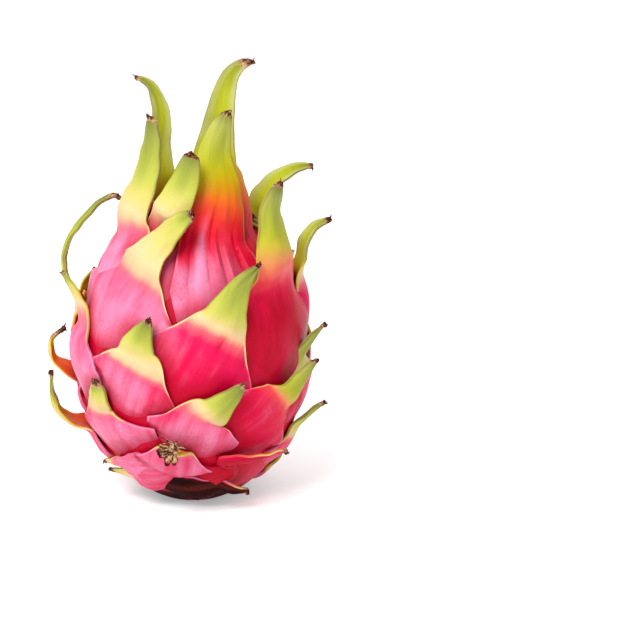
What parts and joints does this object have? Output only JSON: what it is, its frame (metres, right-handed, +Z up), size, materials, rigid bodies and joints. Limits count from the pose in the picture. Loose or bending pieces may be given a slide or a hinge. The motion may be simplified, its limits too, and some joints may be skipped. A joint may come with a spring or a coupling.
{
  "type": "dragon fruit",
  "caption": "Whole pink dragon fruit: an egg-shaped body clothed in a spiral of fleshy scales with long curling green tips, standing on its stem end.",
  "frame": {"origin": "the middle of the small flat spot at the stem end, which the fruit rests on", "axes": "+Z up the fruit's own axis from the stem end to the hollow of the flower, -Y toward the side with the broadest scales, +X to the right of it"},
  "size_m": [0.1142, 0.1163, 0.1726],
  "materials": {
    "peel": "waxy fruit peel, pink, turning yellow and green along the scales' tips",
    "dried_flower": "dry, brown and fibrous"
  },
  "bodies": {
    "root": {"dragon_fruit": "peel", "dried_flower_base": "dried_flower"}
  },
  "joints": []
}
